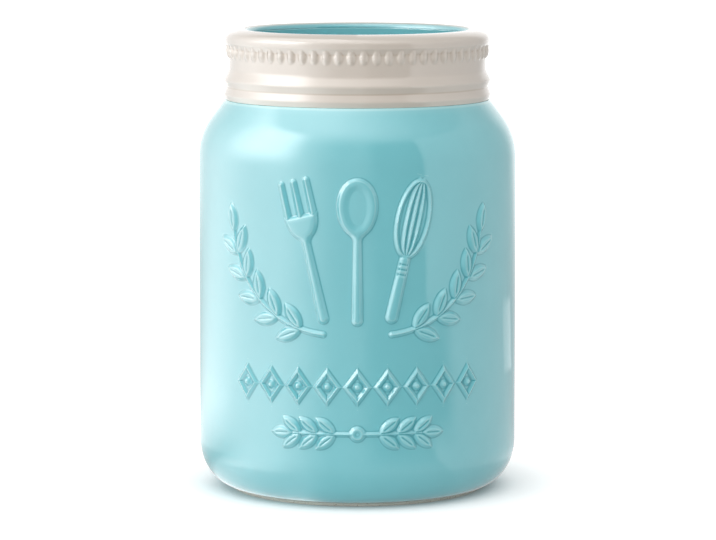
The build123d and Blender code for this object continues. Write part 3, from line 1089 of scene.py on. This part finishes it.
def raise_tent(stage):
    """Raises a light tent round the crock that shows only in its gloss."""
    middle = stage.tent_height / 2
    section = oval_arc((stage.tent_gap, middle), stage.tent_reach, middle, -90, 90, steps=48)
    bm = turn_on_wheel(section, columns=10)
    bmesh.ops.remove_doubles(bm, verts=bm.verts, dist=WELD)
    light = TentLight()
    for name, *spans in TENT_PATCHES:
        light.paint(getattr(stage, name), *spans)
    tent = place_object(bm, "light_tent", light.close())
    for way in ("camera", "diffuse", "shadow", "transmission", "volume_scatter"):
        setattr(tent, f"visible_{way}", False)


# How far the crock's contact shadow reaches over the paper, and how fast it deepens
CONTACT_REACH = 40 * MM
CONTACT_DEPTH = 1.1


def pale_paper(shade, strength):
    """Pale paper that takes the crock's shadow, and shows white where nothing shades it."""
    paper = Finish("pale_paper")
    matt = paper.add("ShaderNodeBsdfDiffuse", {"Color": (shade, shade, shade, 1.0)})
    unshaded = paper.add("ShaderNodeAmbientOcclusion", {"Distance": CONTACT_REACH}, samples=8).outputs["AO"]
    bright = paper.math("MULTIPLY", paper.math("POWER", unshaded, CONTACT_DEPTH), strength)
    light = paper.add("ShaderNodeEmission", {"Strength": paper.math("MULTIPLY", paper.plain_views(), bright)})
    both = paper.add("ShaderNodeAddShader", {0: matt.outputs[0], 1: light.outputs[0]})
    paper.add("ShaderNodeOutputMaterial", {"Surface": both.outputs[0]})
    return paper.owner


def lay_paper(stage):
    """Lays a wide sheet of the pale paper under the crock."""
    bm = bmesh.new()
    bmesh.ops.create_grid(bm, x_segments=1, y_segments=1, size=stage.floor / 2)
    floor = place_object(bm, "pale_floor", pale_paper(stage.floor_shade, stage.floor_glow))


WHITE = (1.0, 1.0, 1.0, 1.0)


def set_surround(strength):
    """White all round where it is seen, and a dimmer light on the crock."""
    world = Nodes(bpy.data.worlds.new("surround"))
    light = world.add("ShaderNodeBackground", {"Color": WHITE, "Strength": strength}).outputs[0]
    white = world.add("ShaderNodeBackground", {"Color": WHITE}).outputs[0]
    either = world.add("ShaderNodeMixShader", {0: world.plain_views(), 1: light, 2: white})
    world.add("ShaderNodeOutputWorld", {"Surface": either.outputs[0]})
    bpy.context.scene.world = world.owner


# Operators


class CROCK_OT_turn_jar(bpy.types.Operator):
    """Turn the glazed jar"""

    bl_idname = "crock.turn_jar"
    bl_label = "Turn Jar"

    def execute(self, context):
        jar, band = context.scene.crock_jar, context.scene.crock_band
        bm = turn_on_wheel(jar_section(jar, band), columns=30)
        fire_piece(bm, "glazed_jar", "jar_body", "aqua_glaze")
        return {"FINISHED"}


class CROCK_OT_turn_band(bpy.types.Operator):
    """Turn the cream band and raise its beads"""

    bl_idname = "crock.turn_band"
    bl_label = "Turn Band"

    def execute(self, context):
        jar, band = context.scene.crock_jar, context.scene.crock_band
        bm = turn_on_wheel(band_section(jar, band), columns=12, wedges=bead_count(jar, band), closed=True)
        raise_beads(bm, jar, band)
        fire_piece(bm, "beaded_band", "screw_band", "cream_glaze")
        return {"FINISHED"}


class CROCK_OT_turn_foot(bpy.types.Operator):
    """Turn the bare foot"""

    bl_idname = "crock.turn_foot"
    bl_label = "Turn Foot"

    def execute(self, context):
        section = divided(foot_section(context.scene.crock_jar), FOOT_STEP)
        fire_piece(turn_on_wheel(section, columns=20, closed=True), "bare_foot", "foot_ring", "bare_clay")
        return {"FINISHED"}


class CROCK_OT_press_utensils(bpy.types.Operator):
    """Press the fork, the spoon and the whisk on the wall"""

    bl_idname = "crock.press_utensils"
    bl_label = "Press Utensils"

    def execute(self, context):
        sizes, relief = context.scene.crock_utensils, context.scene.crock_relief
        tall = sizes.size * relief.wall_height
        spread, lean = sizes.spread, sizes.lean
        fork_width = sizes.tines * (sizes.tine_width + sizes.tine_gap)
        spoon_width = sizes.spoon_width * BOWL_ROOM
        for name, motif, across, width, turn in (
            ("fork", fork_motif, -spread, fork_width, lean),
            ("spoon", spoon_motif, 0, spoon_width, 0),
            ("whisk", whisk_motif, spread, sizes.whisk_width, -lean),
        ):
            press_on_wall(name, f"{name}_relief", motif, sizes, across, sizes.middle, width, tall, turn)
        return {"FINISHED"}


class CROCK_OT_press_branches(bpy.types.Operator):
    """Press the two leafy branches on the wall"""

    bl_idname = "crock.press_branches"
    bl_label = "Press Branches"

    def execute(self, context):
        sizes, relief = context.scene.crock_branches, context.scene.crock_relief
        width = 2 * (sizes.reach - sizes.across + sizes.centre_across + sizes.leaf_length / 2)
        tall = 2 * (sizes.fall - sizes.centre + sizes.middle) * relief.wall_height + sizes.leaf_length
        for side, across, mirrored in (("right", sizes.across, False), ("left", -sizes.across, True)):
            place = (across, sizes.middle, width, tall)
            press_on_wall(f"{side}_sprig", f"{side}_branch", branch_motif, sizes, *place, mirrored=mirrored)
        return {"FINISHED"}


class CROCK_OT_press_border(bpy.types.Operator):
    """Press the row of lozenges on the wall"""

    bl_idname = "crock.press_border"
    bl_label = "Press Border"

    def execute(self, context):
        sizes, relief = context.scene.crock_border, context.scene.crock_relief
        width = sizes.lozenges * sizes.pitch
        tall = sizes.height * relief.wall_height
        press_on_wall("lozenges", "lozenge_border", lozenge_motif, sizes, 0, sizes.middle, width, tall)
        return {"FINISHED"}


class CROCK_OT_press_garland(bpy.types.Operator):
    """Press the garland on the wall"""

    bl_idname = "crock.press_garland"
    bl_label = "Press Garland"

    def execute(self, context):
        sizes = context.scene.crock_border
        width = 2 * (sizes.start + sizes.reach + sizes.leaf_length)
        tall = 2 * sizes.leaf_length
        press_on_wall("garland", "leaf_garland", garland_motif, sizes, 0, sizes.garland_middle, width, tall)
        return {"FINISHED"}


class CROCK_OT_set_stage(bpy.types.Operator):
    """Set the camera, the pale floor and the light"""

    bl_idname = "crock.set_stage"
    bl_label = "Set Stage"

    def execute(self, context):
        stage = context.scene.crock_stage
        aim_camera(stage)
        lay_paper(stage)
        set_surround(stage.surround)
        hang_key(stage)
        raise_tent(stage)
        context.scene.view_settings.view_transform = "Standard"
        return {"FINISHED"}


GROUPS = {
    "crock_jar": CrockJarSizes,
    "crock_band": CrockBandSizes,
    "crock_relief": CrockReliefSizes,
    "crock_utensils": CrockUtensilSizes,
    "crock_branches": CrockBranchSizes,
    "crock_border": CrockBorderSizes,
    "crock_glazes": CrockGlazes,
    "crock_stage": CrockStage,
}
STEPS = (
    CROCK_OT_turn_jar,
    CROCK_OT_turn_band,
    CROCK_OT_turn_foot,
    CROCK_OT_press_utensils,
    CROCK_OT_press_branches,
    CROCK_OT_press_border,
    CROCK_OT_press_garland,
    CROCK_OT_set_stage,
)


class CROCK_PT_panel(bpy.types.Panel):
    """The crock's sizes, colours and steps"""

    bl_idname = "CROCK_PT_panel"
    bl_label = "Utensil Crock"
    bl_space_type = "VIEW_3D"
    bl_region_type = "UI"
    bl_category = "Crock"

    def draw(self, context):
        layout = self.layout
        for step in STEPS:
            layout.operator(step.bl_idname)
        for key, group in GROUPS.items():
            box = layout.box()
            box.label(text=group.__doc__)
            for name in group.__annotations__:
                box.prop(getattr(context.scene, key), name)


def register():
    for key, group in GROUPS.items():
        bpy.utils.register_class(group)
        setattr(bpy.types.Scene, key, PointerProperty(type=group))
    for kind in (*STEPS, CROCK_PT_panel):
        bpy.utils.register_class(kind)


def unregister():
    for kind in (CROCK_PT_panel, *reversed(STEPS)):
        bpy.utils.unregister_class(kind)
    for key, group in reversed(GROUPS.items()):
        delattr(bpy.types.Scene, key)
        bpy.utils.unregister_class(group)


def main():
    register()
    bpy.ops.crock.turn_jar()
    bpy.ops.crock.turn_band()
    bpy.ops.crock.turn_foot()
    bpy.ops.crock.press_utensils()
    bpy.ops.crock.press_branches()
    bpy.ops.crock.press_border()
    bpy.ops.crock.press_garland()
    bpy.ops.crock.set_stage()


if __name__ == "__main__":
    main()
